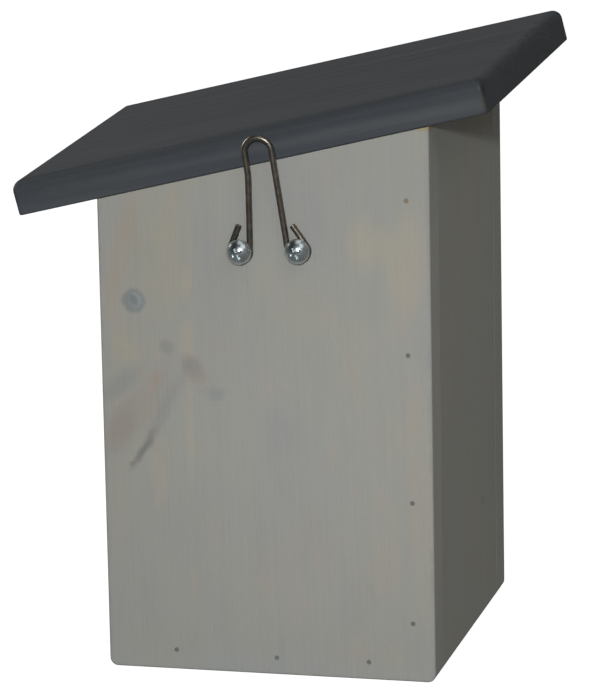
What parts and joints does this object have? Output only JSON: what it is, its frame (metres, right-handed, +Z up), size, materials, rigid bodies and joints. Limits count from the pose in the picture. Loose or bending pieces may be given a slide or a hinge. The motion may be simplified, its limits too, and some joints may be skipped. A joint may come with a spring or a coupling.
{
  "type": "birdhouse",
  "caption": "Wooden nesting box with a sloping single-board roof, a round entrance hole, a side cleaning door with a turning hook, and a bent wire hanger on the back.",
  "frame": {"origin": "centre of the box's underside, in the plane of the four walls' and the floor's lower faces", "axes": "+Z up; -Y the way the entrance hole faces; +Y the back, with the hanger; +X towards the cleaning door, the way the roof falls"},
  "size_m": [0.2297, 0.2027, 0.29],
  "materials": {
    "grey_glazed_wood": "thin matt light-grey glaze over knotty softwood, the grain and knots showing through",
    "slate_stained_wood": "dark slate blue-grey stain, satin, the grain faintly raised",
    "dark_steel_wire": "drawn steel wire, slightly browned",
    "zinc_plated_steel": "bright zinc plating",
    "nail_steel": "dull dark steel"
  },
  "bodies": {
    "box": {"back_panel": "grey_glazed_wood", "front_panel": "grey_glazed_wood", "side_wall": "grey_glazed_wood", "floor_board": "grey_glazed_wood", "roof_board": "slate_stained_wood", "hanger_wire": "dark_steel_wire", "hanger_screw_left": "zinc_plated_steel", "hanger_screw_right": "zinc_plated_steel", "back_wall_nails": "nail_steel", "back_floor_nails": "nail_steel", "front_wall_nails": "nail_steel", "front_floor_nails": "nail_steel", "roof_nails": "nail_steel"},
    "door": {"cleaning_door": "grey_glazed_wood", "door_pin_back": "zinc_plated_steel", "door_pin_front": "zinc_plated_steel"},
    "latch": {"latch_hook": "zinc_plated_steel"}
  },
  "joints": [
    {"name": "door_swing", "type": "hinge", "parent": "box", "child": "door", "pos_m": [0.07, 0, 0.21], "axis": [0, -1, 0], "range_deg": [0, 80]},
    {"name": "latch_turn", "type": "hinge", "parent": "box", "child": "latch", "pos_m": [0.08, -0.0725, 0.042], "axis": [1, 0, 0], "range_deg": [0, 90]}
  ]
}
